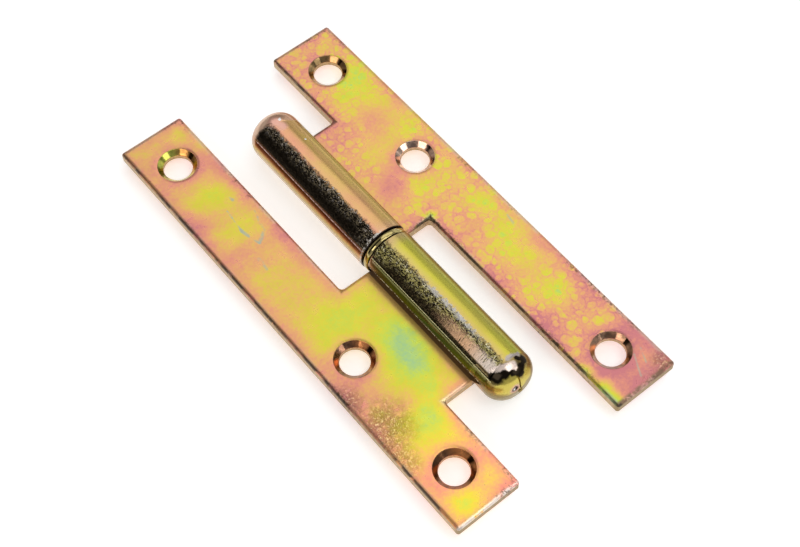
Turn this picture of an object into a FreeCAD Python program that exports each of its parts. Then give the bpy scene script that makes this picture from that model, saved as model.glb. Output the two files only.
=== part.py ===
import FreeCAD, Part
import math
import os

# Lift off hinge of rolled sheet steel, lying open and flat with its countersinks up.
# +Y runs along the pin towards the knuckle that lifts off, +X towards that knuckle's leaf.
# The origin is on the pin's centre line in plan, midway between the two knuckles, and at
# the lowest point of the knuckles. Both leaves are the same blank, turned end for end.

# Sheet and leaf blank
SHEET_THICKNESS = 2.0
LEAF_LENGTH = 110.0
LEAF_REACH = 27.5
STRIP_WIDTH = 15.2
SHORT_TAIL = 21.8
TAB_LENGTH = 32.1
CORNER_RADIUS = 0.6
NOTCH_RADIUS = 0.9
EDGE_ROLL = 0.4

# Screw holes, measured from both ends of the strip
HOLE_DIAMETER = 6.2
SINK_DIAMETER = 8.4
SINK_ANGLE = 90.0
END_MARGIN = 10.0
MIDDLE_HOLE_PITCH = 30.0

# Pin, and the play of the knuckle that turns on it
PIN_DIAMETER = 7.1
RUNNING_PLAY = 0.05
PIN_SEAT_DEPTH = 30.0
PIN_STAND_OUT = 28.0
PIN_CHAMFER = 1.2

# Rolled knuckle: shut, the two leaves lie face to face at twice this rise
AXIS_RISE = 1.5
REVERSE_BEND_RADIUS = 1.0
FREE_EDGE_GAP = 2.6
KNUCKLE_END_ROLL = 0.25

# Swaged end of the knuckle, past the tab's edge
NECK_LENGTH = 3.2
DOME_LENGTH = 4.4
NOSE_RADIUS = 1.9
NOSE_BULGE = 0.25
DOME_WALL = 1.8
SLOT_RUNOUT = 2.8
SEAM_WIDTH = 0.35
SEAM_DEPTH = 0.7
SEAM_RISE = 4.1
NUB_RADIUS = 0.7
NUB_DROP = 0.2
PIT_RADIUS = 0.45
PIT_RISE = 1.4
PIT_OFFSET = 0.95

# Loose ring between the knuckles
WASHER_THICKNESS = 1.8
WASHER_DIAMETER = 10.9
WASHER_EDGE_RADIUS = 0.5

# Worked out from the above
BORE_RADIUS = PIN_DIAMETER / 2 + RUNNING_PLAY
KNUCKLE_RADIUS = BORE_RADIUS + SHEET_THICKNESS
AXIS_Z = KNUCKLE_RADIUS
FACE_Z = AXIS_Z - AXIS_RISE
BACK_Z = FACE_Z - SHEET_THICKNESS
JOINT_Y = WASHER_THICKNESS / 2
TAB_END_Y = JOINT_Y + TAB_LENGTH
SHORT_END_Y = TAB_END_Y + SHORT_TAIL
LONG_END_Y = SHORT_END_Y - LEAF_LENGTH
NECK_END_Y = TAB_END_Y + NECK_LENGTH
NOSE_Y = NECK_END_Y + DOME_LENGTH
STRIP_INNER_X = LEAF_REACH - STRIP_WIDTH
HOLE_X = LEAF_REACH - STRIP_WIDTH / 2
SINK_DEPTH = (SINK_DIAMETER - HOLE_DIAMETER) / 2 / math.tan(math.radians(SINK_ANGLE / 2))
HOLE_YS = (
    SHORT_END_Y - END_MARGIN,
    SHORT_END_Y - END_MARGIN - MIDDLE_HOLE_PITCH,
    LONG_END_Y + END_MARGIN,
)

# The reverse bend turns about a line below the sheet, where it just touches the roll.
BEND_Z = BACK_Z - REVERSE_BEND_RADIUS
BEND_X = math.sqrt((KNUCKLE_RADIUS + REVERSE_BEND_RADIUS) ** 2 - (AXIS_Z - BEND_Z) ** 2)
HANDOVER = math.degrees(math.atan2(BEND_Z - AXIS_Z, BEND_X))
FREE_EDGE = math.degrees(math.asin((FREE_EDGE_GAP - AXIS_RISE) / KNUCKLE_RADIUS))
# Where the leaf's face runs into the knuckle's round wall
WALL_X = math.sqrt(KNUCKLE_RADIUS**2 - AXIS_RISE**2)

# Overrun of cutting tools past the surfaces they leave
CLEAR = 1.0
TINY = 1e-6

UP = FreeCAD.Vector(0, 0, 1)
ALONG = FreeCAD.Vector(0, 1, 0)
AXIS_POINT = FreeCAD.Vector(0, 0, AXIS_Z)


def around(radius, degrees, centre_x=0.0, centre_z=AXIS_Z):
    """Point of the XZ plane on a circle, its angle counted from +X towards +Z."""
    angle = math.radians(degrees)
    x = centre_x + radius * math.cos(angle)
    z = centre_z + radius * math.sin(angle)
    return FreeCAD.Vector(x, 0, z)


def arc(radius, start, end, centre_x=0.0, centre_z=AXIS_Z):
    """Arc of the XZ plane from one angle to another, in either sense."""
    angles = (start, (start + end) / 2, end)
    points = [around(radius, angle, centre_x, centre_z) for angle in angles]
    return Part.Arc(*points).toShape()


def line(start, end):
    return Part.LineSegment(start, end).toShape()


def face_of(edges):
    return Part.Face(Part.Wire(Part.__sortEdges__(edges)))


def leaf_plate():
    """Flat strip with its tab up to the knuckle's wall, upper edges rounded by the punch."""
    points = [
        (LEAF_REACH, LONG_END_Y),
        (LEAF_REACH, SHORT_END_Y),
        (STRIP_INNER_X, SHORT_END_Y),
        (STRIP_INNER_X, TAB_END_Y),
        (WALL_X, TAB_END_Y),
        (WALL_X, JOINT_Y),
        (STRIP_INNER_X, JOINT_Y),
        (STRIP_INNER_X, LONG_END_Y),
    ]
    corners = [FreeCAD.Vector(x, y, BACK_Z) for x, y in points]
    plate = Part.Face(Part.makePolygon(corners + corners[:1])).extrude(UP * SHEET_THICKNESS)

    def upright_at(x, ys):
        edges = []
        for edge in plate.Edges:
            middle = edge.CenterOfMass
            upright = abs(middle.z - (BACK_Z + FACE_Z) / 2) < TINY
            if upright and abs(middle.x - x) < TINY and min(abs(middle.y - y) for y in ys) < TINY:
                edges.append(edge)
        return edges

    plate = plate.makeFillet(NOTCH_RADIUS, upright_at(STRIP_INNER_X, (JOINT_Y, TAB_END_Y)))
    ends = (LONG_END_Y, SHORT_END_Y)
    outer = upright_at(LEAF_REACH, ends) + upright_at(STRIP_INNER_X, ends)
    plate = plate.makeFillet(CORNER_RADIUS, outer)
    upper = [e for e in plate.Edges if e.BoundBox.ZMin > FACE_Z - TINY and e.BoundBox.XMax > WALL_X + TINY]
    return plate.makeFillet(EDGE_ROLL, upper)


def rolled_tab():
    """Tab from the knuckle's wall down the reverse bend and round the pin to its free edge."""
    outer_bend = REVERSE_BEND_RADIUS + SHEET_THICKNESS
    handover_bend = 180 + HANDOVER
    roll_end = FREE_EDGE - 360
    root_face = FreeCAD.Vector(WALL_X, 0, FACE_Z)
    root_back = FreeCAD.Vector(WALL_X, 0, BACK_Z)
    section = face_of([
        line(root_back, root_face),
        line(root_face, FreeCAD.Vector(BEND_X, 0, FACE_Z)),
        arc(outer_bend, 90, handover_bend, BEND_X, BEND_Z),
        arc(BORE_RADIUS, HANDOVER, roll_end),
        line(around(BORE_RADIUS, roll_end), around(KNUCKLE_RADIUS, roll_end)),
        arc(KNUCKLE_RADIUS, roll_end, HANDOVER),
        arc(REVERSE_BEND_RADIUS, handover_bend, 90, BEND_X, BEND_Z),
        line(FreeCAD.Vector(BEND_X, 0, BACK_Z), root_back),
    ])
    section.translate(ALONG * JOINT_Y)
    tab = section.extrude(ALONG * TAB_LENGTH)
    # The rounded edge of the flat tab runs on down the bend and round the mouth of the bore.
    flat_edge = [e for e in tab.Edges if e.BoundBox.YMax < JOINT_Y + TINY and e.BoundBox.ZMin > FACE_Z - TINY]
    tab = tab.makeFillet(EDGE_ROLL, [e for e in flat_edge if e.BoundBox.XMin > BEND_X - TINY])
    drum = Part.makeCylinder(KNUCKLE_RADIUS, TAB_LENGTH, FreeCAD.Vector(0, JOINT_Y, AXIS_Z), ALONG)
    rim = [edge for edge in drum.Edges if edge.BoundBox.YMax < JOINT_Y + TINY]
    return tab.cut(drum.cut(drum.makeFillet(KNUCKLE_END_ROLL, rim)))


def dome_profile(radius, nose_radius, nose_y, bulge, start_y):
    """Half section of a neck, its shoulder and a slightly bulged nose, closed on the axis."""
    diagonal = math.sqrt(0.5)

    def at(distance, y):
        return FreeCAD.Vector(distance, y, AXIS_Z)

    shoulder_r = nose_radius + (radius - nose_radius) * diagonal
    shoulder_y = NECK_END_Y + (nose_y - NECK_END_Y) * diagonal
    shoulder = Part.Arc(at(radius, NECK_END_Y), at(shoulder_r, shoulder_y), at(nose_radius, nose_y))
    # A cap of a ball centred on the pin's line, so the nose is smooth at its middle
    ball = (nose_radius**2 + bulge**2) / (2 * bulge)
    half = math.asin(nose_radius / ball) / 2
    nose = Part.Arc(
        at(nose_radius, nose_y),
        at(ball * math.sin(half), nose_y + bulge - ball * (1 - math.cos(half))),
        at(0, nose_y + bulge),
    )
    return face_of([
        line(at(0, start_y), at(radius, start_y)),
        line(at(radius, start_y), at(radius, NECK_END_Y)),
        shoulder.toShape(),
        nose.toShape(),
        line(at(0, nose_y + bulge), at(0, start_y)),
    ])


def swaged_end():
    """Closed end past the tab: neck, dome, the run-out of the roll's slot, seam, pit and nub."""
    outer = dome_profile(KNUCKLE_RADIUS, NOSE_RADIUS, NOSE_Y, NOSE_BULGE, TAB_END_Y)
    outer = outer.revolve(AXIS_POINT, ALONG, 360)
    inner_nose = NOSE_RADIUS / 2
    inner = dome_profile(BORE_RADIUS, inner_nose, NOSE_Y - DOME_WALL, NOSE_BULGE, TAB_END_Y - CLEAR)
    end = outer.cut(inner.revolve(AXIS_POINT, ALONG, 360))

    # Slot under the free edge, closing as the neck is squeezed shut
    free_corner = around(KNUCKLE_RADIUS, FREE_EDGE)
    slot = [
        FreeCAD.Vector(BORE_RADIUS - CLEAR, TAB_END_Y - CLEAR, FACE_Z),
        FreeCAD.Vector(BORE_RADIUS - CLEAR, TAB_END_Y, FACE_Z),
        FreeCAD.Vector(BORE_RADIUS - CLEAR, TAB_END_Y + SLOT_RUNOUT, free_corner.z),
        FreeCAD.Vector(BORE_RADIUS - CLEAR, TAB_END_Y - CLEAR, free_corner.z),
    ]
    slot_face = Part.Face(Part.makePolygon(slot + slot[:1]))
    end = end.cut(slot_face.extrude(FreeCAD.Vector(SHEET_THICKNESS + 2 * CLEAR, 0, 0)))

    # Seam pressed up the nose from its middle, a skin deep
    skin = outer.copy()
    skin.translate(ALONG * -SEAM_DEPTH)
    skin = outer.cut(skin)
    seam_foot = FreeCAD.Vector(-SEAM_WIDTH / 2, NECK_END_Y, AXIS_Z)
    seam = Part.makeBox(SEAM_WIDTH, DOME_LENGTH + CLEAR, SEAM_RISE, seam_foot)
    end = end.cut(skin.common(seam))

    # Nub of squeezed metal at the middle, and the pit beside it
    tip_y = NOSE_Y + NOSE_BULGE
    nub = Part.makeSphere(NUB_RADIUS, FreeCAD.Vector(0, tip_y - NUB_RADIUS / 2, AXIS_Z - NUB_DROP))
    pit = Part.makeSphere(PIT_RADIUS, FreeCAD.Vector(PIT_OFFSET, tip_y, AXIS_Z + PIT_RISE))
    return end.fuse(nub).cut(pit)


def screw_hole(y):
    """Through hole with a countersink open at the leaf's face."""
    shank = Part.makeCylinder(HOLE_DIAMETER / 2, SHEET_THICKNESS, FreeCAD.Vector(HOLE_X, y, BACK_Z))
    foot = FreeCAD.Vector(HOLE_X, y, FACE_Z - SINK_DEPTH)
    return shank.fuse(Part.makeCone(HOLE_DIAMETER / 2, SINK_DIAMETER / 2, SINK_DEPTH, foot))


def leaf():
    """Whole leaf on +X, with its knuckle on +Y."""
    body = leaf_plate().fuse([rolled_tab(), swaged_end()]).removeSplitter()
    for y in HOLE_YS:
        body = body.cut(screw_hole(y))
    return body


def pin():
    """Stepped pin: the size of the bore where it is held, a running fit where it stands out."""
    seat_foot = FreeCAD.Vector(0, -JOINT_Y - PIN_SEAT_DEPTH, AXIS_Z)
    seat = Part.makeCylinder(BORE_RADIUS, PIN_SEAT_DEPTH, seat_foot, ALONG)
    shaft_foot = FreeCAD.Vector(0, -JOINT_Y, AXIS_Z)
    shaft_length = WASHER_THICKNESS + PIN_STAND_OUT
    shaft = Part.makeCylinder(PIN_DIAMETER / 2, shaft_length, shaft_foot, ALONG)
    tip_y = JOINT_Y + PIN_STAND_OUT
    tip = [edge for edge in shaft.Edges if abs(edge.BoundBox.YMin - tip_y) < 1e-3]
    return seat.fuse(shaft.makeChamfer(PIN_CHAMFER, tip)).removeSplitter()


def washer():
    """Loose bearing ring with rounded rims."""
    foot = FreeCAD.Vector(0, -JOINT_Y, AXIS_Z)
    disc = Part.makeCylinder(WASHER_DIAMETER / 2, WASHER_THICKNESS, foot, ALONG)
    rims = [edge for edge in disc.Edges if isinstance(edge.Curve, Part.Circle)]
    bore = Part.makeCylinder(BORE_RADIUS, WASHER_THICKNESS, foot, ALONG)
    return disc.makeFillet(WASHER_EDGE_RADIUS, rims).cut(bore)


def turned_over(shape):
    """Copy turned half round, end for end, about the upright line through the joint."""
    copy = shape.copy()
    copy.rotate(FreeCAD.Vector(0, 0, 0), UP, 180)
    return copy


upper_leaf = leaf()
PIECES = {
    "upper_leaf": upper_leaf,
    "lower_leaf": turned_over(upper_leaf),
    "pin": pin(),
    "washer": washer(),
}

os.makedirs("parts", exist_ok=True)
for name, shape in PIECES.items():
    solid = shape.Solids[0]
    print(name, shape.isValid(), len(shape.Solids), round(solid.Volume, 2), solid.BoundBox)
    solid.exportStep(f"parts/{name}.step")
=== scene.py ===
import bpy
import math
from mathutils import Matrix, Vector
from types import SimpleNamespace


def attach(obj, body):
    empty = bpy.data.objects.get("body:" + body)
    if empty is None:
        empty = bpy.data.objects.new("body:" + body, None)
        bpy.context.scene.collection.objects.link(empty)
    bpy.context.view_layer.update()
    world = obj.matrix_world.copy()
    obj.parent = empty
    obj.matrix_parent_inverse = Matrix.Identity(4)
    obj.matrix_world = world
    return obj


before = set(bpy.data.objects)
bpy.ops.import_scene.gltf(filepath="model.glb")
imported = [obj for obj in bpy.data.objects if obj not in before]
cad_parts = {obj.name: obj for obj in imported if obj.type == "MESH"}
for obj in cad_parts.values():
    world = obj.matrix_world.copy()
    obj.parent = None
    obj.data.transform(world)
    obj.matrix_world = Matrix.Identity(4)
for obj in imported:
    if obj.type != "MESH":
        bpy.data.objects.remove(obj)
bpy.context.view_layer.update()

# Table and lights: the hinge lies open on a pale, faintly glowing table top, under soft boxes
# overhead, behind, right, left and in front. The room is mid grey, with one dark screen
# standing to the left, whose reflection, with the dark painted into the stripe, draws the black
# stripe along each knuckle.
TABLE_WIDTH = 20.0
TABLE_DROP = 0.00002
TABLE_PALE = (0.86, 0.86, 0.85, 1.0)
TABLE_GLOW = 0.56
ROOM_GREY = (0.30, 0.30, 0.31)
SCREEN_DARK = (0.012, 0.012, 0.013)
# each edge of the screen, as seen from the hinge: axis, clear up to, dark from
SCREEN_EDGES = (("Y", 0.18, 0.30), ("Y", 0.66, 0.54), ("X", 0.10, -0.02))


def link(tree, source, target):
    """Joins an output to an input, or sets the input where the source is a number or a tuple."""
    if isinstance(source, (int, float, tuple)):
        target.default_value = source
    else:
        tree.links.new(source, target)


def maths(tree, operation, *values, clamp=False):
    """Math node whose inputs are numbers or other nodes' outputs; gives its output."""
    node = tree.nodes.new("ShaderNodeMath")
    node.operation = operation
    node.use_clamp = clamp
    for socket, value in zip(node.inputs, values):
        link(tree, value, socket)
    return node.outputs[0]


def folded(operation):
    """Function that joins any number of numbers or outputs by one operation."""
    def joined(tree, *values):
        result = values[0]
        for value in values[1:]:
            result = maths(tree, operation, result, value)
        return result
    return joined


times = folded("MULTIPLY")


def step(tree, value, low, high):
    """0 under low and 1 over high, smooth between; high may lie under low."""
    node = tree.nodes.new("ShaderNodeMapRange")
    node.interpolation_type = "SMOOTHSTEP"
    link(tree, value, node.inputs["Value"])
    flip = high < low
    node.inputs["From Min"].default_value = high if flip else low
    node.inputs["From Max"].default_value = low if flip else high
    node.inputs["To Min"].default_value = 1.0 if flip else 0.0
    node.inputs["To Max"].default_value = 0.0 if flip else 1.0
    return node.outputs["Result"]


def blend_colour(tree, share, first, second, mode="MIX"):
    """Mix of two colours, each a tuple or an output; gives the mixed colour."""
    node = tree.nodes.new("ShaderNodeMix")
    node.data_type = "RGBA"
    node.blend_type = mode
    share_socket, *colour_sockets = [s for s in node.inputs if s.enabled]
    link(tree, share, share_socket)
    for socket, colour in zip(colour_sockets, (first, second)):
        link(tree, (*colour, 1.0) if isinstance(colour, tuple) else colour, socket)
    return [s for s in node.outputs if s.enabled][0]


def coordinates(tree):
    """Outputs of a texture coordinate node."""
    return tree.nodes.new("ShaderNodeTexCoord").outputs


def axes_of(tree, vector):
    """A vector's X, Y and Z, as outputs."""
    node = tree.nodes.new("ShaderNodeSeparateXYZ")
    link(tree, vector, node.inputs[0])
    return node.outputs


def plain_material(name):
    """New node material, with its tree and its shader."""
    made = bpy.data.materials.new(name)
    made.use_nodes = True
    tree = made.node_tree
    return made, tree, tree.nodes["Principled BSDF"]


def soft_box(name, centre, size, radiance, aim=(0.0, 0.0, 0.0)):
    """Rectangular soft light at centre, facing aim, as bright as the radiance says."""
    lamp = bpy.data.lights.new(name, "AREA")
    lamp.shape = "RECTANGLE"
    lamp.size, lamp.size_y = size
    lamp.energy = radiance * math.pi * size[0] * size[1]
    piece = bpy.data.objects.new(name, lamp)
    bpy.context.scene.collection.objects.link(piece)
    piece.location = centre
    towards = Vector(aim) - Vector(centre)
    piece.rotation_euler = towards.to_track_quat("-Z", "Y").to_euler()


half = TABLE_WIDTH / 2
table_mesh = bpy.data.meshes.new("table_top")
corners = [(-half, -half), (half, -half), (half, half), (-half, half)]
table_mesh.from_pydata([(x, y, -TABLE_DROP) for x, y in corners], [], [(0, 1, 2, 3)])
table_top = bpy.data.objects.new("table_top", table_mesh)
bpy.context.scene.collection.objects.link(table_top)
table_paint, _, shader = plain_material("table_paint")
shader.inputs["Base Color"].default_value = TABLE_PALE
shader.inputs["Roughness"].default_value = 0.9
shader.inputs["Specular IOR Level"].default_value = 0.1
shader.inputs["Emission Color"].default_value = TABLE_PALE
shader.inputs["Emission Strength"].default_value = TABLE_GLOW
table_mesh.materials.append(table_paint)

world = bpy.data.worlds.new("room")
bpy.context.scene.world = world
world.use_nodes = True
tree = world.node_tree
towards = axes_of(tree, coordinates(tree)["Generated"])
screen = times(tree, *(step(tree, towards[axis], low, high) for axis, low, high in SCREEN_EDGES))
room_colour = blend_colour(tree, screen, ROOM_GREY, SCREEN_DARK)
link(tree, room_colour, tree.nodes["Background"].inputs["Color"])

soft_box("soft_box_overhead", (0.16, -0.42, 1.0), (0.60, 0.62), 2.15, (0.16, -0.42, 0.0))
soft_box("soft_box_behind", (0.72, 0.50, 1.0), (1.34, 1.10), 0.98, (0.70, 0.46, 0.0))
soft_box("soft_box_right", (1.30, 0.10, 0.40), (1.60, 0.55), 0.5)
soft_box("soft_box_left", (-0.76, -0.12, 0.62), (0.64, 0.40), 2.0)
soft_box("soft_box_front", (0.40, -0.78, 0.50), (0.50, 0.36), 1.8)

# Camera: a long lens in front of the hinge and left of it, looking down at 59 degrees, which
# shows the hinge as the photograph does.
CAMERA_PLACE = (-0.100265, -0.131796, 0.271345)
CAMERA_TURN = (31.0354, 0.6765, -39.3296)
CAMERA_LENS = 69.767
CAMERA_SENSOR = 36.0
camera_data = bpy.data.cameras.new("camera")
camera_data.lens = CAMERA_LENS
camera_data.sensor_width = CAMERA_SENSOR
camera_data.clip_start = 0.01
camera = bpy.data.objects.new("camera", camera_data)
bpy.context.scene.collection.objects.link(camera)
camera.location = CAMERA_PLACE
camera.rotation_euler = [math.radians(a) for a in CAMERA_TURN]
bpy.context.scene.camera = camera
bpy.context.scene.view_settings.view_transform = "Standard"

# Plating on the sheet: yellow passivated zinc. The film's thickness drifts over the leaf and
# turns its colour from rose through peach and gold to yellow, lime and pale green.
FILM_COLOURS = (
    (0.22, (0.60, 0.20, 0.21)),
    (0.34, (0.76, 0.30, 0.20)),
    (0.46, (0.80, 0.44, 0.15)),
    (0.56, (0.75, 0.56, 0.09)),
    (0.66, (0.70, 0.65, 0.05)),
    (0.78, (0.56, 0.68, 0.08)),
    (0.90, (0.42, 0.62, 0.20)),
    (1.00, (0.32, 0.56, 0.30)),
)

total = folded("ADD")
lowest = folded("MINIMUM")
highest = folded("MAXIMUM")


def without(tree, share):
    """One less a share."""
    return maths(tree, "SUBTRACT", 1.0, share)


def swing(tree, grey, amount):
    """A noise's swing about its middle grey, times an amount."""
    return times(tree, maths(tree, "SUBTRACT", grey, 0.5), amount)


def vectors(tree, operation, first, second):
    """Vector math node on outputs or tuples; gives its vector, or its value if it has one."""
    node = tree.nodes.new("ShaderNodeVectorMath")
    node.operation = operation
    for socket, value in zip(node.inputs, (first, second)):
        link(tree, value, socket)
    return node.outputs["Value" if operation in ("DISTANCE", "DOT_PRODUCT") else "Vector"]


def noise(tree, vector, scale, detail=2.0, roughness=0.5, warp=0.0, output="Fac"):
    """Noise texture; gives its grey value, or its colour."""
    node = tree.nodes.new("ShaderNodeTexNoise")
    node.inputs["Scale"].default_value = scale
    node.inputs["Detail"].default_value = detail
    node.inputs["Roughness"].default_value = roughness
    node.inputs["Distortion"].default_value = warp
    link(tree, vector, node.inputs["Vector"])
    return node.outputs[output]


def stretched(tree, vector, x, y, z):
    """Coordinates scaled along each axis, so that a pattern runs in streaks."""
    node = tree.nodes.new("ShaderNodeMapping")
    node.inputs["Scale"].default_value = (x, y, z)
    link(tree, vector, node.inputs["Vector"])
    return node.outputs["Vector"]


def colour_ramp(tree, share, stops):
    """Colour ramp over rising stops, each (position, colour); gives its colour."""
    node = tree.nodes.new("ShaderNodeValToRGB")
    while len(node.color_ramp.elements) < len(stops):
        node.color_ramp.elements.new(0.5)
    for element, (position, colour) in zip(node.color_ramp.elements, stops):
        element.position = position
        element.color = (*colour, 1.0)
    link(tree, share, node.inputs["Fac"])
    return node.outputs["Color"]


def raise_skin(tree, shader, height, distance):
    """Bumps a shader's surface by a height, one unit of which stands for the distance."""
    bump = tree.nodes.new("ShaderNodeBump")
    bump.inputs["Distance"].default_value = distance
    link(tree, height, bump.inputs["Height"])
    link(tree, bump.outputs["Normal"], shader.inputs["Normal"])


def new_group(name, inputs, outputs, kind="ShaderNodeTree"):
    """Empty node group with its sockets; gives its tree, what it is given and what it gives."""
    tree = bpy.data.node_groups.new(name, kind)
    for label, socket_kind, value in inputs:
        socket = tree.interface.new_socket(label, in_out="INPUT", socket_type=socket_kind)
        if value is not None:
            socket.default_value = value
    for label, socket_kind in outputs:
        tree.interface.new_socket(label, in_out="OUTPUT", socket_type=socket_kind)
    return tree, tree.nodes.new("NodeGroupInput").outputs, tree.nodes.new("NodeGroupOutput").inputs


# Film colour: from one thickness value to one colour of the film
film, given, result = new_group(
    "film_colour", [("Thickness", "NodeSocketFloat", 0.5)], [("Color", "NodeSocketColor")])
link(film, colour_ramp(film, given["Thickness"], FILM_COLOURS), result["Color"])

# Bubbles: rings of froth that dried on the plating, of many sizes, with thicker film inside
froth, given, result = new_group(
    "froth_rings",
    [("Vector", "NodeSocketVector", None), ("Scale", "NodeSocketFloat", 300.0)],
    [("Inside", "NodeSocketFloat"), ("Ring", "NodeSocketFloat")])
wobble = noise(froth, given["Vector"], 260.0, output="Color")
wobble = vectors(froth, "MULTIPLY", wobble, (0.0022, 0.0022, 0.0022))
moved = vectors(froth, "ADD", given["Vector"], wobble)
cells = froth.nodes.new("ShaderNodeTexVoronoi")
cells.feature = "F1"
cells.voronoi_dimensions = "2D"
link(froth, moved, cells.inputs["Vector"])
link(froth, given["Scale"], cells.inputs["Scale"])
lot = froth.nodes.new("ShaderNodeSeparateColor")
link(froth, cells.outputs["Color"], lot.inputs["Color"])
reach = total(froth, 0.30, times(froth, lot.outputs["Red"], 0.24))
past = maths(froth, "SUBTRACT", cells.outputs["Distance"], reach)
inside = times(froth, step(froth, past, 0.07, -0.14), total(froth, 0.35, lot.outputs["Green"]))
link(froth, inside, result["Inside"])
link(froth, step(froth, maths(froth, "ABSOLUTE", past), 0.13, 0.0), result["Ring"])

# Angle round the pin, in degrees from the +X side over the top, and distance from its axis
KNUCKLE_RADIUS = 0.0056
AXIS_Z = KNUCKLE_RADIUS
turn, given, result = new_group(
    "round_the_pin", [], [("Angle", "NodeSocketFloat"), ("Distance", "NodeSocketFloat")])
place = axes_of(turn, coordinates(turn)["Object"])
rise = maths(turn, "SUBTRACT", place["Z"], AXIS_Z)
angle = maths(turn, "ARCTAN2", rise, place["X"])
turned_on = maths(turn, "MODULO", total(turn, times(turn, angle, 180.0 / math.pi), 450.0), 360.0)
link(turn, maths(turn, "SUBTRACT", turned_on, 90.0), result["Angle"])
square = total(turn, times(turn, rise, rise), times(turn, place["X"], place["X"]))
link(turn, maths(turn, "SQRT", square), result["Distance"])

# Leaf outline: how far inside the punched outline a point lies in plan, how far it lies from
# the middle of the nearest screw hole, and whether it is on a cut side
LEAF_REACH = 0.0275
STRIP_INNER_X = 0.0123
ROOT_X = 0.0040
JOINT_Y = 0.0009
TAB_END_Y = 0.0330
STRIP = (STRIP_INNER_X, LEAF_REACH, -0.0552, 0.0548)
TAB = (ROOT_X, LEAF_REACH, JOINT_Y, TAB_END_Y)
HOLE_X = 0.0199
HOLE_YS = (0.0448, 0.0148, -0.0452)
outline, given, result = new_group(
    "leaf_outline", [("Turn", "NodeSocketFloat", 1.0)],
    [(label, "NodeSocketFloat") for label in ("Gap", "Hole", "Side", "Across", "Along")])
space = coordinates(outline)
place = axes_of(outline, space["Object"])
across = times(outline, place["X"], given["Turn"])
along = times(outline, place["Y"], given["Turn"])
insides = []
for low_x, high_x, low_y, high_y in (STRIP, TAB):
    insides.append(lowest(
        outline,
        maths(outline, "SUBTRACT", across, low_x), maths(outline, "SUBTRACT", high_x, across),
        maths(outline, "SUBTRACT", along, low_y), maths(outline, "SUBTRACT", high_y, along)))
side_x = maths(outline, "SUBTRACT", across, HOLE_X)
from_holes = []
for hole_y in HOLE_YS:
    side_y = maths(outline, "SUBTRACT", along, hole_y)
    square = total(outline, times(outline, side_x, side_x), times(outline, side_y, side_y))
    from_holes.append(maths(outline, "SQRT", square))
tilt = maths(outline, "ABSOLUTE", axes_of(outline, space["Normal"])["Z"])
link(outline, highest(outline, *insides), result["Gap"])
link(outline, lowest(outline, *from_holes), result["Hole"])
link(outline, step(outline, tilt, 0.45, 0.20), result["Side"])
link(outline, across, result["Across"])
link(outline, along, result["Along"])

# Scratch: distance in plan from a straight line between two points
scratch, given, result = new_group(
    "scratch_line",
    [(label, "NodeSocketVector", (0.0, 0.0, 0.0)) for label in ("Vector", "Start", "End")],
    [("Distance", "NodeSocketFloat")])
run = vectors(scratch, "SUBTRACT", given["End"], given["Start"])
gone = vectors(scratch, "SUBTRACT", given["Vector"], given["Start"])
flat = vectors(scratch, "MULTIPLY", gone, (1.0, 1.0, 0.0))
share = maths(scratch, "DIVIDE", vectors(scratch, "DOT_PRODUCT", flat, run),
              vectors(scratch, "DOT_PRODUCT", run, run), clamp=True)
foot = vectors(scratch, "MULTIPLY", run, share)
link(scratch, vectors(scratch, "DISTANCE", flat, foot), result["Distance"])

# Ragged: a small shift of a place, so that a round mark gets an uneven outline
ragged_place, given, result = new_group(
    "ragged_place", [("Vector", "NodeSocketVector", None)], [("Shift", "NodeSocketVector")])
wobble = noise(ragged_place, given["Vector"], 900.0, 3.0, output="Color")
link(ragged_place, vectors(ragged_place, "SUBTRACT", wobble, (0.5, 0.5, 0.5)), result["Shift"])

# Sizes of the sheet: its face, the layer above its back, the holes with their countersinks, and
# the relief of its skin
FACE_Z = 0.0041
ABOVE_BACK_Z = (0.0023, 0.0026)
HOLE_RADIUS = 0.0031
SINK_RADIUS = 0.0042
SKIN_RELIEF = 0.0001

# Colours besides the film's own: light painted on the near end, dents, cut sides, rims with their
# painted highlight and painted dark arris, countersinks, painted shade beside the roll, scratches,
# painted highlight of the drawn zone and ring end with its painted shade in the joint
NEAR_END_PAINTED_LIGHT = (1.5, 1.28, 1.2)
DENT_BROWN = (0.50, 0.26, 0.08)
DENT_BRIGHT = (0.98, 0.82, 0.40)
CUT_BROWN = (0.30, 0.19, 0.08)
CUT_PALE = (0.76, 0.56, 0.32)
CUT_OLIVE = (0.32, 0.22, 0.09)
RUBBED_PALE_AND_HIGHLIGHT = (0.84, 0.72, 0.56)
BURNT_BROWN = (0.16, 0.08, 0.035)
ARRIS_PAINTED_DARK = (0.05, 0.032, 0.014)
SINK_PLAIN = (0.5, 0.4, 0.2)
SINK_PAINTED_WARM_LIGHT = (0.66, 0.26, 0.09)
SINK_SHADES = ((0.45, 0.42, 0.40), (1.3, 1.2, 1.1))
SHADE_BY_ROLL_BROWN = (0.74, 0.44, 0.14)
SHADE_BY_ROLL_DARK = (0.16, 0.09, 0.04)
SCRATCH_GREY = (0.42, 0.46, 0.34)
DRAWN_PAINTED_HIGHLIGHTS = ((1.0, 0.58, 0.32), (1.0, 0.84, 0.70))
DRAWN_SILVER = (0.70, 0.68, 0.66)
LIP_BARE = (0.74, 0.70, 0.62)
JOINT_PAINTED_SHADE = (0.03, 0.02, 0.015)


def group_node(tree, group, **values):
    """A group in a tree, its inputs set from outputs or constants by name; gives its outputs."""
    node = tree.nodes.new("ShaderNodeGroup")
    node.node_tree = group
    for label, value in values.items():
        link(tree, value, node.inputs[label])
    return node.outputs


def patches(tree, vector, spots):
    """Sum of soft round patches, each (x, y, radius, strength) in mm, or with its own z last."""
    result = 0.0
    for x, y, radius, strength, *own in spots:
        z = own[0] / 1000 if own else FACE_Z
        gap = vectors(tree, "DISTANCE", vector, (x / 1000, y / 1000, z))
        result = total(tree, result, times(tree, step(tree, gap, radius / 1000, 0.0), strength))
    return result


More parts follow.
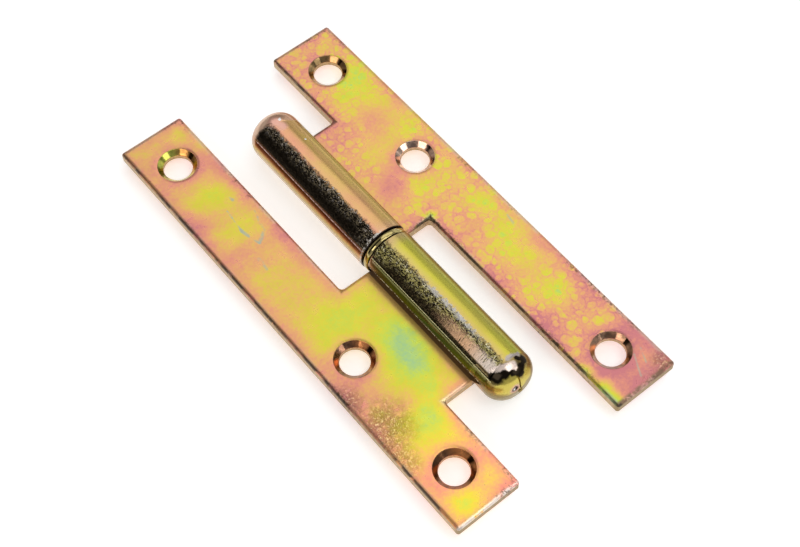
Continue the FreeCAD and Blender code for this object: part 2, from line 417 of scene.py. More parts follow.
def leaf_places(tree, look):
    """Where a point of the leaf lies and what the noises are there, for all of its finish."""
    space = coordinates(tree)
    where = space["Object"]
    sockets = {}
    for outputs in (axes_of(tree, where), group_node(tree, outline, Turn=look["turned"]),
                    group_node(tree, turn)):
        sockets.update((label.lower(), socket) for label, socket in outputs.items())
    at = SimpleNamespace(where=where, **sockets)
    at.facing = axes_of(tree, space["Normal"])
    at.spot = vectors(tree, "ADD", where, (look["seed"], look["seed"] * 0.7, 0.0))
    at.fine = noise(tree, where, 1500.0, 4.0, 0.65)
    at.grain = noise(tree, where, 420.0, 3.0, 0.6)
    at.coarse = noise(tree, at.spot, 150.0, 3.0, 0.6)
    at.dents = noise(tree, stretched(tree, where, 1.0, 0.7, 1.0), 1700.0, 2.5, 0.75, 0.6)
    at.clouds = noise(tree, at.spot, 52.0, 3.0, 0.5, 0.5)
    at.on_roll = step(tree, at.distance, KNUCKLE_RADIUS + 0.00025, KNUCKLE_RADIUS + 0.00005)
    return at


def leaf_film(tree, at, look):
    """Film on the flat leaf: drifting thickness, froth, rosy rims, and light painted on the near
    end.
    """
    frothed = times(tree, step(tree, noise(tree, at.spot, 70.0, 1.0), 0.30, 0.50),
                    step(tree, at.y, -0.0500, -0.0420), look["froth"])
    large = group_node(tree, froth, Vector=at.spot, Scale=410.0)
    small = group_node(tree, froth, Vector=at.spot, Scale=900.0)
    bubbles = total(tree, times(tree, large["Inside"], 0.11), times(tree, large["Ring"], -0.07),
                    times(tree, small["Inside"], 0.05), times(tree, small["Ring"], -0.05))
    rim_rose = total(tree, times(tree, step(tree, at.gap, 0.0042, 0.0004), -0.13),
                     times(tree, step(tree, at.hole, 0.0068, 0.0044), -0.10))
    thickness = total(
        tree, 0.10, times(tree, at.clouds, 0.80), times(tree, bubbles, frothed), rim_rose,
        patches(tree, at.where, look["spots"]), swing(tree, at.coarse, 0.20),
        swing(tree, at.grain, 0.16), swing(tree, at.fine, 0.27))
    colour = group_node(tree, film, Thickness=thickness)["Color"]
    # painted light: the near end made brighter, as if lit more strongly
    painted_near_light = times(tree, step(tree, at.y, -0.020, -0.050), look["near_end_painted_light"])
    return blend_colour(tree, painted_near_light, colour, NEAR_END_PAINTED_LIGHT, "MULTIPLY")


def hammered_patch(tree, at, look, colour):
    """Leaf that blows left rough: brown dents with bright spots between them."""
    beaten = times(tree, patches(tree, at.where, look["beaten"]), step(tree, at.grain, 0.26, 0.50))
    blows = noise(tree, at.where, 2300.0, 3.0, 0.7, 1.5)
    at.dented = times(tree, step(tree, blows, 0.46, 0.58), beaten)
    colour = blend_colour(tree, times(tree, at.dented, 0.45), colour, DENT_BROWN)
    spared = times(tree, step(tree, blows, 0.45, 0.39), beaten, 0.75)
    return blend_colour(tree, spared, colour, DENT_BRIGHT)


def cut_sides(tree, at, look, colour):
    """Sheared sides of the sheet, streaked across by the punch, and olive at the near end."""
    at.shorn = noise(tree, stretched(tree, at.where, 1.0, 1.0, 0.25), 1400.0, 3.0, 0.6)
    sheared = blend_colour(tree, at.shorn, CUT_BROWN, CUT_PALE)
    near_end = times(tree, step(tree, at.y, -0.0535, -0.0545), 0.9)
    sheared = blend_colour(tree, near_end, sheared, CUT_OLIVE)
    return blend_colour(tree, at.side, colour, sheared)


def worn_rims(tree, at, look, colour):
    """Rims rubbed pale, which also paints their highlight, and burnt brown; a speckled near end,
    pale on the lower leaf as a painted highlight; and a painted dark reflection along the left
    arris.
    """
    top = without(tree, at.side)
    rubbed = step(tree, total(tree, at.coarse, times(tree, at.grain, 0.6)), 0.70, 0.95)
    rim = times(tree, step(tree, at.gap, 0.0012, 0.0002), top, rubbed, 0.5)
    # rims rubbed pale, which also paints their highlight
    colour = blend_colour(tree, rim, colour, RUBBED_PALE_AND_HIGHLIGHT)
    speckled = step(tree, total(tree, at.grain, times(tree, at.fine, 0.6)), 0.62, 0.86)
    at.end_rim = times(tree, step(tree, at.y, look["rim_from"], look["rim_from"] - 0.0008),
                       speckled, top, 0.95)
    # rim of the near end: on the lower leaf a pale painted highlight
    colour = blend_colour(tree, at.end_rim, colour, look["rim_tint_and_highlight"])
    burnt = times(tree, step(tree, at.gap, 0.0016, 0.0004), step(tree, at.clouds, 0.50, 0.40),
                  step(tree, at.dents, 0.50, 0.58), 0.85)
    colour = blend_colour(tree, burnt, colour, BURNT_BROWN)
    from_left = maths(tree, "SUBTRACT", at.x, look["left_edge"])
    broken = total(tree, 0.35, times(tree, step(tree, at.coarse, 0.42, 0.54), 0.55))
    at.arris = times(tree, step(tree, at.gap, 0.00062, 0.00038), top,
                     step(tree, from_left, 0.0014, 0.0009),
                     step(tree, at.grain, 0.30, 0.44), broken)
    # painted dark reflection along the left arris
    return blend_colour(tree, at.arris, colour, ARRIS_PAINTED_DARK)


def countersinks(tree, at, look, colour):
    """Turned cones of the holes, each with a tint of its own that partly paints its dark
    reflection, and painted warm light on its right side.
    """
    at.above_back = step(tree, at.z, *ABOVE_BACK_Z)
    at.sink = times(tree, step(tree, at.hole, SINK_RADIUS + 0.00005, SINK_RADIUS - 0.00005),
                    at.above_back, step(tree, at.hole, HOLE_RADIUS - 0.00005, HOLE_RADIUS + 0.0001))
    tinted = SINK_PLAIN
    # tint of each sink, partly its film and partly a painted dark reflection
    for x, y, tint in look["sink_tints_and_painted_reflections"]:
        here = vectors(tree, "DISTANCE", at.where, (x / 1000, y / 1000, FACE_Z))
        tinted = blend_colour(tree, step(tree, here, 0.0056, 0.0052), tinted, tint)
    # painted warm light on the part of the cone that faces left
    painted_warm_light = times(tree, step(tree, at.facing["X"], -0.15, -0.6), look["painted_warm_light"])
    tinted = blend_colour(tree, painted_warm_light, tinted, SINK_PAINTED_WARM_LIGHT)
    shade = blend_colour(tree, step(tree, at.grain, 0.36, 0.62), *SINK_SHADES)
    return blend_colour(tree, at.sink, colour, blend_colour(tree, 1.0, tinted, shade, "MULTIPLY"))


def roll_stain(tree, at, look, colour):
    """Brown painted shade beside the roll, nearly black right against it."""
    ragged_x = total(tree, at.across, swing(tree, at.fine, 0.0006))
    at.stain = times(tree, step(tree, ragged_x, 0.0076, 0.0058), 0.75)
    colour = blend_colour(tree, at.stain, colour, SHADE_BY_ROLL_BROWN)
    # painted shade, darkest right against the roll
    against = times(tree, step(tree, ragged_x, 0.0057, 0.0050), 0.9)
    return blend_colour(tree, against, colour, SHADE_BY_ROLL_DARK)


def scratches(tree, at, look, colour):
    """Broken grey green scratches, each (start, end, width, strength) in mm."""
    for start, end, width, strength in look["scratches"]:
        ends = [(x / 1000, y / 1000, 0.0) for x, y in (start, end)]
        near = group_node(tree, scratch, Vector=at.where, Start=ends[0], End=ends[1])["Distance"]
        near = total(tree, near, swing(tree, at.coarse, 0.0016))
        worn = times(tree, step(tree, near, width / 1000, width / 3000),
                     step(tree, at.grain, 0.40, 0.55), strength)
        colour = blend_colour(tree, worn, colour, SCRATCH_GREY)
    return colour


def knuckle_film_and_painted_bands(tree, at, look):
    """Knuckle's colour by its angle round the pin: film tones with painted bands of reflected light
    and shade, hazy low on its left side.
    """
    streaks = noise(tree, stretched(tree, at.spot, 1.0, 0.25, 1.0), 330.0, 3.0, 0.6)
    low, high = look["film"][0][0], look["film"][-1][0]
    wavy = total(tree, at.angle, swing(tree, streaks, look["sway"]),
                 swing(tree, at.coarse, look["sway"]))
    share = maths(tree, "DIVIDE", maths(tree, "SUBTRACT", wavy, low), high - low)
    # painted bands of reflected light and shade round the pin
    stops = [((degrees - low) / (high - low), tint) for degrees, tint in look["film"]]
    ring = colour_ramp(tree, share, stops)
    drift = total(tree, times(tree, at.clouds, 0.5), times(tree, streaks, 0.9), -0.20)
    tinged = times(tree, step(tree, at.angle, 20.0, 60.0),
                   step(tree, at.angle, 130.0, 100.0), look["tinge"])
    at.haze = times(tree, step(tree, at.angle, 170.0, 178.0), 0.4)
    return blend_colour(tree, tinged, ring, group_node(tree, film, Thickness=drift)["Color"])


def rough_stripe_painted_dark(tree, at, look, colour):
    """Rough stripe that the bending stretched, its black partly a painted dark reflection, with
    pale flecks painted as glints.
    """
    start, full, fade, end = look["stripe"]
    at.ragged_angle = total(tree, at.angle, swing(tree, at.coarse, 16.0),
                            swing(tree, at.fine, 22.0))
    at.ragged_along = total(tree, at.along, swing(tree, at.grain, 0.001),
                            times(tree, at.angle, look["slant"]))
    at.stripe = times(tree, step(tree, at.ragged_angle, start, full),
                      step(tree, at.angle, end, fade), at.on_roll,
                      step(tree, at.ragged_along, look["stops"] + 0.0003, look["stops"]))
    flecks = noise(tree, stretched(tree, at.where, 1.0, 0.42, 1.0), 1900.0, 2.5, 0.7, 2.5)
    lively = total(tree, step(tree, at.ragged_angle, look["calm"], look["calm"] - 26.0),
                   times(tree, step(tree, at.along, 0.0070, 0.0015), 0.6))
    # pale flecks painted as glints
    painted_glints = times(tree, step(tree, flecks, look["rare"], look["rare"] + 0.06),
                   lowest(tree, lively, 1.0), look["painted_glints"])
    painted_fleck_glint = blend_colour(tree, step(tree, at.fine, 0.52, 0.62), look["golden"], look["bright"])
    at.haze = total(tree, at.haze, times(tree, at.stripe, painted_glints, 0.75))
    # stripe ground painted dark as its reflection
    return blend_colour(tree, at.stripe, colour, blend_colour(tree, painted_glints, look["dark"], painted_fleck_glint))


def drawn_zone_painted_highlight(tree, at, look, colour):
    """Zone that the die drew smooth towards the dome, with a painted peach highlight, and a silver
    band above it.
    """
    drawn = times(tree, step(tree, at.along, 0.017, 0.031), at.on_roll,
                  step(tree, at.ragged_angle, 106.0, 120.0), step(tree, at.angle, 137.0, 133.0),
                  step(tree, at.along, 0.0365, 0.0350), look["drawn"])
    lines = noise(tree, stretched(tree, at.where, 0.25, 2.0, 0.25), 1800.0, 2.0, 0.6)
    # painted peach highlight, bright since the haze takes the mirror off there
    bare = times(tree, drawn, step(tree, lines, 0.26, 0.46))
    drawn_highlight = blend_colour(tree, step(tree, at.along, 0.028, 0.035), *DRAWN_PAINTED_HIGHLIGHTS)
    colour = blend_colour(tree, bare, colour, drawn_highlight)
    silver = times(tree, at.on_roll, step(tree, at.ragged_angle, 92.0, 96.0),
                   step(tree, at.ragged_angle, 107.0, 99.0), step(tree, at.along, 0.010, 0.018),
                   step(tree, at.along, 0.031, 0.026), step(tree, at.grain, 0.36, 0.56),
                   look["drawn"], 0.8)
    at.drawn_lines = times(tree, lines, drawn)
    at.haze = total(tree, at.haze, times(tree, bare, 0.92), times(tree, silver, 0.6))
    return blend_colour(tree, silver, colour, DRAWN_SILVER)


def ring_end(tree, at, look, colour):
    """Knuckle's end by the ring: darker film, a bare lip on top, and black painted shade in the
    joint.
    """
    near_ring = times(tree, step(tree, at.along, 0.0042, 0.0012), 0.6, without(tree, at.stripe))
    colour = blend_colour(tree, near_ring, colour, look["by_ring"])
    lip = times(tree, step(tree, at.along, 0.00165, 0.00145), step(tree, at.angle, 78.0, 96.0),
                step(tree, at.fine, 0.44, 0.54), look["lip"])
    colour = blend_colour(tree, lip, colour, LIP_BARE)
    at.haze = total(tree, at.haze, times(tree, lip, 0.5))
    # black painted shade in the joint with the ring
    return blend_colour(tree, step(tree, at.along, 0.00112, 0.00104), colour, JOINT_PAINTED_SHADE)


def painted_dome(tree, at, look, colour):
    """Dome's ground colour, then its marks, mostly painted reflections: highlights, dark
    reflections and shade in the pit.
    """
    start = total(tree, at.ragged_along, swing(tree, at.coarse, 0.0015))
    at.dome = times(tree, at.on_roll, step(tree, start, look["stops"], look["stops"] + 0.0006))
    colour = blend_colour(tree, at.dome, colour, look["dome"])
    shift = group_node(tree, ragged_place, Vector=at.where)["Shift"]
    ragged = vectors(tree, "ADD", at.where, vectors(tree, "MULTIPLY", shift, (0.001, 0.001, 0.001)))
    for tint, haze, crispness, marks in look["dome_painted_reflections"]:
        mark = lowest(tree, times(tree, patches(tree, ragged, marks), crispness), 1.0)
        mark = times(tree, mark, at.on_roll)
        # marks of the dome, mostly painted reflections and shade
        colour = blend_colour(tree, mark, colour, tint)
        at.haze = total(tree, times(tree, at.haze, without(tree, mark)), times(tree, mark, haze))
    return colour


def sheet_finish(name, look):
    """Plated sheet of one leaf: the flat leaf in layers, then the rolled knuckle in layers."""
    made, tree, shader = plain_material(name)
    at = leaf_places(tree, look)
    colour = leaf_film(tree, at, look)
    for layer in (hammered_patch, cut_sides, worn_rims, countersinks, roll_stain, scratches):
        colour = layer(tree, at, look, colour)
    roll_colour = knuckle_film_and_painted_bands(tree, at, look)
    for layer in (rough_stripe_painted_dark, drawn_zone_painted_highlight, ring_end, painted_dome):
        roll_colour = layer(tree, at, look, roll_colour)
    link(tree, blend_colour(tree, at.on_roll, colour, roll_colour), shader.inputs["Base Color"])

    # haze takes the mirror off the metal, so that pale marks stay bright against dark surroundings
    leaf_haze = highest(tree, times(tree, without(tree, at.sink), 0.30),
                        times(tree, at.stain, 0.95), times(tree, at.end_rim, 0.8),
                        times(tree, at.arris, 0.8))
    haze = total(tree, times(tree, without(tree, at.on_roll), leaf_haze),
                 times(tree, at.on_roll, at.haze))
    link(tree, maths(tree, "SUBTRACT", 1.0, haze, clamp=True), shader.inputs["Metallic"])
    satin = times(tree, at.on_roll, step(tree, at.angle, 100.0, 88.0), 0.10)
    rough = total(tree, 0.22, times(tree, at.grain, 0.16), times(tree, at.on_roll, -0.14), satin,
                  times(tree, at.stripe, 0.10), times(tree, at.side, 0.10),
                  times(tree, at.sink, -0.18))
    link(tree, rough, shader.inputs["Roughness"])
    die_roll = maths(tree, "POWER", step(tree, at.gap, 0.0013, -0.0004), 2.0)
    punch_roll = maths(tree, "POWER", step(tree, at.hole, 0.0051, 0.0040), 2.0)
    height = total(
        tree, times(tree, at.fine, 0.10), times(tree, at.dents, at.stripe, look["depth"]),
        times(tree, at.shorn, at.side, 0.5), times(tree, die_roll, -3.6),
        times(tree, punch_roll, at.above_back, without(tree, at.sink), -1.2),
        times(tree, noise(tree, at.spot, 260.0, 1.0), at.dome, 1.4),
        times(tree, at.dented, -0.5), times(tree, at.drawn_lines, 3.0))
    raise_skin(tree, shader, height, SKIN_RELIEF)
    return made


# Lower leaf: punched from 2 mm steel sheet and plated, its tab rolled round the pin, which it
# holds fast, and the knuckle's end swaged to a dome. Thick film left a green patch by the
# middle hole.

# Swaged end past the tab: neck and nose of the dome
NECK_END_Y = 0.0362
NOSE_Y = 0.0406
NOSE_RADIUS = 0.0019


def knuckle_reach(y):
    """Distance of the knuckle's skin from the pin's line, at y along the upper knuckle."""
    if y <= NECK_END_Y:
        return KNUCKLE_RADIUS
    share = min((y - NECK_END_Y) / (NOSE_Y - NECK_END_Y), 1.0)
    return NOSE_RADIUS + (KNUCKLE_RADIUS - NOSE_RADIUS) * math.sqrt(1.0 - share * share)


def on_dome(way, *marks):
    """Marks given as (degrees, mm past the tab, radius mm) turned into patches on a dome."""
    placed = []
    for degrees, past, radius in marks:
        y = TAB_END_Y + past / 1000
        reach = knuckle_reach(y) * 1000
        placed.append((reach * math.cos(math.radians(degrees)), way * y * 1000, radius, 1.0,
                       AXIS_Z * 1000 + reach * math.sin(math.radians(degrees))))
    return placed


def dress(node, made):
    """Gives a CAD node its material in every slot."""
    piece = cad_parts[node]
    if not piece.material_slots:
        piece.data.materials.append(made)
    for slot in piece.material_slots:
        slot.material = made


LOWER_LOOK = {
    # which way the blank is turned, where its noises start, its froth, and the light painted on its
    # near end
    "turned": -1.0,
    "seed": 0.31,
    "froth": 0.12,
    "near_end_painted_light": 0.8,
    # patches of thicker or thinner film, and the beaten ones, each (x, y, radius, strength) in mm
    "spots": (
        (-11.4, -19.5, 13.0, 0.29), (-12.4, -24.0, 6.5, 0.10), (-14.2, -31.5, 6.0, 0.12),
        (-9.8, -17.0, 5.0, 0.05), (-19.0, -5.0, 10.0, 0.16), (-20.0, 35.0, 8.0, 0.12),
        (-18.0, 24.0, 9.0, 0.08), (-20.8, 10.0, 8.0, 0.04), (-16.0, -35.0, 6.0, 0.14),
        (-22.5, -51.8, 5.5, 0.22), (-17.0, -50.0, 7.0, 0.14), (-15.0, -41.0, 5.0, 0.12),
        (-14.6, 52.0, 4.0, 0.16), (-25.5, -33.0, 7.0, -0.10), (-14.0, 18.0, 7.0, -0.06),
        (-21.5, 17.5, 8.0, -0.14), (-25.0, 28.0, 8.0, -0.11), (-24.5, 47.0, 9.0, -0.14),
        (-14.0, 40.0, 6.0, -0.10)),
    "beaten": ((-25.0, -30.0, 9.0, 1.0), (-27.2, -21.0, 5.0, 0.9), (-27.4, -38.0, 6.0, 0.8)),
    # rim of the near end with its painted highlight, the left edge with its painted dark line,
    # countersinks, each (x, y, tint), tinted partly as painted dark reflections, with painted warm
    # light on their right side, and scratches, each (start, end, width, strength), in mm
    "rim_from": -0.0537,
    # pale painted highlight on the near end's rim
    "rim_tint_and_highlight": (0.98, 0.88, 0.78),
    "left_edge": -LEAF_REACH,
    "painted_warm_light": 0.8,
    "sink_tints_and_painted_reflections": ((-19.9, 45.2, (0.46, 0.50, 0.10)), (-19.9, -14.8, (0.36, 0.20, 0.13)),
              (-19.9, -44.8, (0.22, 0.11, 0.06))),
    "scratches": (
        ((-18.7, 29.0), (-19.3, 23.0), 0.35, 0.9), ((-19.3, 23.0), (-18.2, 18.5), 0.50, 0.9),
        ((-14.3, 25.5), (-15.6, 20.5), 0.45, 0.7), ((-15.6, 20.5), (-18.2, 18.5), 0.60, 0.8),
        ((-16.5, 31.5), (-16.2, 30.6), 0.60, 0.8), ((-20.6, 15.5), (-20.8, 12.5), 0.60, 0.6)),
    # knuckle's colour by degrees round the pin: film tones with painted bands of light and shade,
    # painted dark lines and a thin painted highlight under the drawn line; how far it wanders, and
    # its drifting tinge
    "film": ((-30.0, (0.36, 0.28, 0.09)), (12.0, (0.30, 0.26, 0.07)), (20.0, (0.10, 0.12, 0.02)),
             (32.0, (0.32, 0.33, 0.06)), (60.0, (0.41, 0.42, 0.06)), (80.0, (0.52, 0.48, 0.06)),
             (97.0, (0.59, 0.45, 0.17)), (143.0, (0.30, 0.22, 0.10)), (144.6, (0.12, 0.10, 0.04)),
             (145.5, (0.90, 0.80, 0.40)), (146.4, (0.16, 0.15, 0.05)), (160.0, (0.26, 0.26, 0.09)),
             (172.0, (0.24, 0.15, 0.06)), (180.0, (0.46, 0.26, 0.10))),
    "sway": 10.0,
    "tinge": 0.12,
    # rough stripe: where it starts, is full, fades and ends in degrees, where it stops along the
    # knuckle and how that slants, where its flecks calm down, how rare and how strong its painted
    # glints are, its depth, its ground, partly a painted dark reflection, and its dull and bright
    # flecks painted as glints
    "stripe": (92.0, 102.0, 136.0, 142.0),
    "stops": 0.0362,
    "slant": 0.0,
    "calm": 136.0,
    "rare": 0.495,
    "painted_glints": 1.0,
    "depth": 1.3,
    "dark": (0.055, 0.038, 0.020),
    "golden": (0.58, 0.50, 0.16),
    "bright": (1.0, 0.92, 0.60),
    # drawn zone with its painted peach highlight, lip and tint of the end by the ring, dome's
    # ground, and dome's marks, mostly painted reflections and shade, each (tint, haze, crispness,
    # patches)
    "drawn": 1.0,
    "lip": 0.0,
    "by_ring": (0.50, 0.30, 0.20),
    "dome": (0.30, 0.22, 0.075),
    "dome_painted_reflections": (
        # yellow-olive facets painted as reflections of the table, a white painted highlight, a
        # lavender band, black painted reflection of the dark screen, and the pit: pink ring,
        # painted shade and painted highlight
        ((0.66, 0.54, 0.10), 0.36, 2.2,
         on_dome(-1.0, (116.0, 6.9, 2.8), (49.5, 7.2, 1.9), (62.0, 8.0, 1.4), (138.0, 7.3, 2.4),
                 (150.0, 6.3, 1.8), (96.0, 7.6, 1.8))),
        ((1.0, 0.82, 0.70), 0.62, 3.0,
         on_dome(-1.0, (90.0, 5.1, 1.5), (101.0, 4.6, 1.2), (111.0, 4.1, 1.2), (120.0, 3.4, 1.1),
                 (127.0, 2.8, 0.8))),
        ((0.46, 0.40, 0.36), 0.22, 1.4,
         on_dome(-1.0, (88.0, 3.3, 0.7), (81.0, 3.2, 0.75), (74.0, 3.3, 0.75), (67.0, 3.4, 0.75),
                 (60.0, 3.6, 0.7))),
        ((0.022, 0.016, 0.010), 0.0, 3.0,
         on_dome(-1.0, (56.0, 4.8, 1.3), (70.0, 5.8, 1.1), (80.0, 6.6, 1.3), (97.0, 6.0, 1.0),
                 (112.0, 5.3, 1.2), (128.0, 4.7, 1.6), (136.0, 3.6, 1.0), (69.0, 4.3, 0.8))),
        ((0.74, 0.42, 0.34), 0.4, 2.0, on_dome(-1.0, (130.0, 7.8, 1.6))),
        ((0.05, 0.03, 0.02), 0.0, 3.0, on_dome(-1.0, (130.0, 7.8, 1.0))),
        ((0.92, 0.86, 0.80), 0.5, 3.0, on_dome(-1.0, (130.0, 7.9, 0.55)))),
}
dress("lower_leaf", sheet_finish("yellow_zinc_lower", LOWER_LOOK))

# Raised lines on the knuckles: the burr left along the sheet's free edge, and the sharp line
# that the rolling tool drew along each knuckle and on over the neck. Thin uneven beads of
# bright zinc that stand a tenth of a millimetre proud.
BEAD_RADIUS = 0.00011
BEAD_START_Y = JOINT_Y + 0.0004
BEAD_POINTS = 60
# each line: degrees round the pin, end along the knuckle, depth sunk into it, unevenness
BURR = (11.3, 0.0357, 0.00003, 0.40)
LOWER_LINE = (34.5, 0.0372, 0.00004, 0.15)
UPPER_LINE = (152.5, 0.0368, 0.00004, 0.15)
bead_tree, given, result = new_group(
    "uneven_bead",
    [("Geometry", "NodeSocketGeometry", None), ("Radius", "NodeSocketFloat", 0.0001),
     ("Unevenness", "NodeSocketFloat", 0.5), ("Pitch", "NodeSocketFloat", 0.0003),
     ("Seed", "NodeSocketFloat", 1.0), ("Finish", "NodeSocketMaterial", None)],
    [("Geometry", "NodeSocketGeometry")], "GeometryNodeTree")
path = bead_tree.nodes.new("GeometryNodeMeshToCurve")
even = bead_tree.nodes.new("GeometryNodeResampleCurve")
even.mode = "LENGTH"
girth = bead_tree.nodes.new("GeometryNodeSetCurveRadius")
uneven = bead_tree.nodes.new("ShaderNodeTexNoise")
uneven.noise_dimensions = "4D"
uneven.inputs["Scale"].default_value = 2400.0
spread = bead_tree.nodes.new("ShaderNodeMapRange")
spread.inputs["From Min"].default_value = 0.35
spread.inputs["From Max"].default_value = 0.65
spread.inputs["To Max"].default_value = 1.0
section = bead_tree.nodes.new("GeometryNodeCurvePrimitiveCircle")
section.inputs["Resolution"].default_value = 8
sweep = bead_tree.nodes.new("GeometryNodeCurveToMesh")
sweep.inputs["Fill Caps"].default_value = True
realize = bead_tree.nodes.new("GeometryNodeRealizeInstances")
finish = bead_tree.nodes.new("GeometryNodeSetMaterial")
for source, target in (
        (given["Geometry"], path.inputs["Mesh"]),
        (path.outputs["Curve"], even.inputs["Curve"]),
        (given["Pitch"], even.inputs["Length"]),
        (even.outputs["Curve"], girth.inputs["Curve"]),
        (given["Seed"], uneven.inputs["W"]),
        (uneven.outputs["Fac"], spread.inputs["Value"]),
        (without(bead_tree, given["Unevenness"]), spread.inputs["To Min"]),
        (spread.outputs["Result"], girth.inputs["Radius"]),
        (given["Radius"], section.inputs["Radius"]),
        (girth.outputs["Curve"], sweep.inputs["Curve"]),
        (section.outputs["Curve"], sweep.inputs["Profile Curve"]),
        (sweep.outputs["Mesh"], realize.inputs["Geometry"]),
        (realize.outputs["Geometry"], finish.inputs["Geometry"]),
        (given["Finish"], finish.inputs["Material"]),
        (finish.outputs["Geometry"], result["Geometry"])):
    link(bead_tree, source, target)


def bead(name, body, turned, line, seed, made):
    """Uneven bead along a knuckle, from the joint on, as its line says."""
    degrees, end_y, sunk, unevenness = line
    points = []
    for index in range(BEAD_POINTS):
        y = BEAD_START_Y + (end_y - BEAD_START_Y) * index / (BEAD_POINTS - 1)
        reach = knuckle_reach(y) - sunk
        x = reach * math.cos(math.radians(degrees))
        z = AXIS_Z + reach * math.sin(math.radians(degrees))
        points.append((x * turned, y * turned, z))
    wire = bpy.data.meshes.new(name + "_path")
    wire.from_pydata(points, [(i, i + 1) for i in range(BEAD_POINTS - 1)], [])
    piece = bpy.data.objects.new(name, wire)
    bpy.context.scene.collection.objects.link(piece)
    maker = piece.modifiers.new("bead", "NODES")
    maker.node_group = bead_tree
    values = {"Radius": BEAD_RADIUS, "Unevenness": unevenness, "Seed": seed, "Finish": made}
    for socket in bead_tree.interface.items_tree:
        if socket.in_out == "INPUT" and socket.name in values:
            maker[socket.identifier] = values[socket.name]
    shaped = piece.evaluated_get(bpy.context.evaluated_depsgraph_get())
    mesh = bpy.data.meshes.new_from_object(shaped)
    piece.modifiers.remove(maker)
    piece.data = mesh
    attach(piece, body)


def bead_finish(name, pale, deep, metal):
    """Bright zinc of a bead, pale where it is rubbed and deep elsewhere."""
    made, tree, shader = plain_material(name)
    patch = step(tree, noise(tree, coordinates(tree)["Object"], 2600.0), 0.40, 0.60)
    link(tree, blend_colour(tree, patch, deep, pale), shader.inputs["Base Color"])
    shader.inputs["Metallic"].default_value = metal
    link(tree, total(tree, 0.14, times(tree, patch, 0.18)), shader.inputs["Roughness"])
    return made


burr_finish = bead_finish("bare_burr", (0.90, 0.76, 0.50), (0.26, 0.15, 0.06), 0.8)
lower_line_finish = bead_finish("drawn_line_lower", (0.92, 0.86, 0.50), (0.62, 0.54, 0.22), 0.6)
upper_line_finish = bead_finish("drawn_line_upper", (0.90, 0.62, 0.56), (0.66, 0.34, 0.30), 0.7)
bead("burr_lower", "lower_leaf", -1.0, BURR, 1.0, burr_finish)
bead("burr_upper", "upper_leaf", 1.0, BURR, 2.0, burr_finish)
bead("drawn_line_lower", "lower_leaf", -1.0, LOWER_LINE, 3.0, lower_line_finish)
bead("drawn_line_upper", "upper_leaf", 1.0, UPPER_LINE, 4.0, upper_line_finish)

# Pin: bright turned steel rod with a chamfered tip, pressed into the lower knuckle. What
# stands out of it carries the washer and the upper leaf.
STEEL_DULL = (0.46, 0.45, 0.43)
STEEL_BRIGHT = (0.62, 0.61, 0.58)
pin_steel, tree, shader = plain_material("pin_steel")
shader.inputs["Metallic"].default_value = 1.0
grey = noise(tree, coordinates(tree)["Object"], 900.0, 3.0)
link(tree, blend_colour(tree, grey, STEEL_DULL, STEEL_BRIGHT), shader.inputs["Base Color"])
link(tree, total(tree, 0.18, times(tree, grey, 0.15)), shader.inputs["Roughness"])
dress("pin", pin_steel)

# Washer: turned steel ring, plated olive yellow, with painted shade along both edges where it meets
# the knuckles, and with a slightly crowned rim. It lies loose on the pin between the knuckles.
RING_OLIVE = (0.40, 0.31, 0.11)
RING_PALE = (0.66, 0.55, 0.24)
EDGE_PAINTED_SHADE = (0.03, 0.02, 0.012)
EDGE_Y = (0.00072, 0.00084)
CROWN_Y = (0.0012, 0.0001)
CROWN_HEIGHT = 0.0003
washer_finish, tree, shader = plain_material("yellow_zinc_washer")
shader.inputs["Metallic"].default_value = 1.0
where = coordinates(tree)["Object"]
shade = noise(tree, where, 500.0, 3.0)
off_middle = maths(tree, "ABSOLUTE", axes_of(tree, where)["Y"])
ring_colour = blend_colour(tree, shade, RING_OLIVE, RING_PALE)
# painted shade along both edges, in the gaps to the knuckles
ring_colour = blend_colour(tree, step(tree, off_middle, *EDGE_Y), ring_colour, EDGE_PAINTED_SHADE)
link(tree, ring_colour, shader.inputs["Base Color"])
link(tree, total(tree, 0.07, times(tree, shade, 0.08)), shader.inputs["Roughness"])
raise_skin(tree, shader, step(tree, off_middle, *CROWN_Y), CROWN_HEIGHT)
dress("washer", washer_finish)

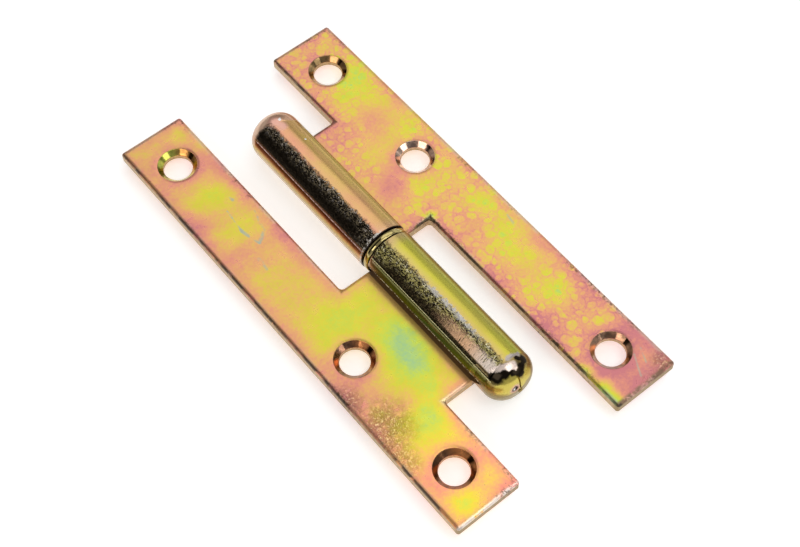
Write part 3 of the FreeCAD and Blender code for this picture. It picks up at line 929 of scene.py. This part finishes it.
# Upper leaf: the same steel blank turned end for end, plated alike, and free to turn on the
# pin and to lift off it. Froth dried in rings all over its plating.
UPPER_LOOK = {
    # the same values as the lower leaf's, in the same order
    "turned": 1.0,
    "seed": 0.83,
    "froth": 1.0,
    "near_end_painted_light": 0.0,
    "spots": (
        (23.8, -2.8, 5.5, 0.22), (23.0, -11.0, 8.0, 0.16), (22.5, 38.5, 8.0, 0.12),
        (25.0, 51.0, 6.0, 0.14), (17.0, 7.0, 6.0, 0.12), (20.6, -28.0, 6.0, 0.16),
        (11.0, 13.0, 7.0, -0.12), (10.0, 28.0, 7.0, -0.14), (22.0, -50.0, 15.0, -0.24),
        (13.5, -19.0, 8.0, -0.14), (13.0, -31.0, 8.0, -0.14), (24.0, 7.0, 8.0, 0.09),
        (19.0, 28.0, 8.0, -0.12), (12.0, -45.5, 3.8, 0.50), (12.0, -50.5, 4.4, 0.62),
        (12.0, -54.5, 3.6, 0.50), (12.6, 1.2, 2.2, 0.45)),
    "beaten": ((26.0, -54.0, 4.5, 1.0), (21.0, -55.4, 3.2, 0.9)),
    "rim_from": -0.0539,
    "rim_tint_and_highlight": (0.24, 0.13, 0.07),
    "left_edge": STRIP_INNER_X,
    "painted_warm_light": 0.3,
    "sink_tints_and_painted_reflections": ((19.9, 44.8, (0.40, 0.28, 0.13)), (19.9, 14.8, (0.82, 0.62, 0.52)),
              (19.9, -45.2, (0.52, 0.34, 0.24))),
    "scratches": (((25.2, -8.6), (24.4, -12.4), 0.5, 0.6), ((24.6, -48.6), (22.8, -52.4), 0.3, 0.7),
                  ((22.6, -48.8), (20.4, -53.0), 0.3, 0.6)),
    # knuckle's colour round the pin, with painted bands of light and shade and a painted highlight
    # under the drawn line
    "film": ((-30.0, (0.40, 0.26, 0.10)), (12.0, (0.34, 0.22, 0.08)), (20.0, (0.10, 0.10, 0.02)),
             (34.0, (0.42, 0.31, 0.07)), (58.0, (0.56, 0.40, 0.12)), (76.0, (0.57, 0.34, 0.15)),
             (97.0, (0.64, 0.30, 0.22)), (148.0, (0.30, 0.18, 0.10)), (151.5, (0.08, 0.05, 0.03)),
             (152.5, (0.86, 0.58, 0.50)), (153.5, (0.20, 0.09, 0.05)), (162.0, (0.40, 0.17, 0.07)),
             (172.0, (0.55, 0.40, 0.12)), (190.0, (0.78, 0.60, 0.42))),
    "sway": 8.0,
    "tinge": 0.28,
    "stripe": (98.0, 105.0, 146.0, 150.0),
    "stops": 0.0334,
    "slant": -0.00003,
    "calm": 134.0,
    "rare": 0.515,
    "painted_glints": 0.9,
    "depth": 1.2,
    "dark": (0.030, 0.022, 0.014),
    "golden": (0.34, 0.27, 0.16),
    "bright": (0.86, 0.76, 0.68),
    "drawn": 0.0,
    "lip": 1.0,
    "by_ring": (0.62, 0.36, 0.22),
    "dome": (0.66, 0.40, 0.26),
    "dome_painted_reflections": (
        # peach paint lightening the reflected dark screen, a pink painted highlight, a green-grey
        # patch, and white painted highlights
        ((0.78, 0.52, 0.36), 0.55, 2.0,
         on_dome(1.0, (115.0, 5.6, 2.4), (138.0, 5.6, 2.0), (98.0, 6.4, 2.2), (160.0, 5.4, 2.0))),
        ((0.78, 0.42, 0.32), 0.45, 1.3, on_dome(1.0, (92.0, 3.6, 2.2), (84.0, 1.6, 1.7))),
        ((0.34, 0.42, 0.34), 0.2, 2.0, on_dome(1.0, (128.0, 6.9, 1.0), (118.0, 7.4, 0.8))),
        ((0.98, 0.96, 0.94), 0.8, 3.0, on_dome(1.0, (78.8, 3.4, 0.45), (66.0, -4.0, 0.35)))),
}
dress("upper_leaf", sheet_finish("yellow_zinc_upper", UPPER_LOOK))
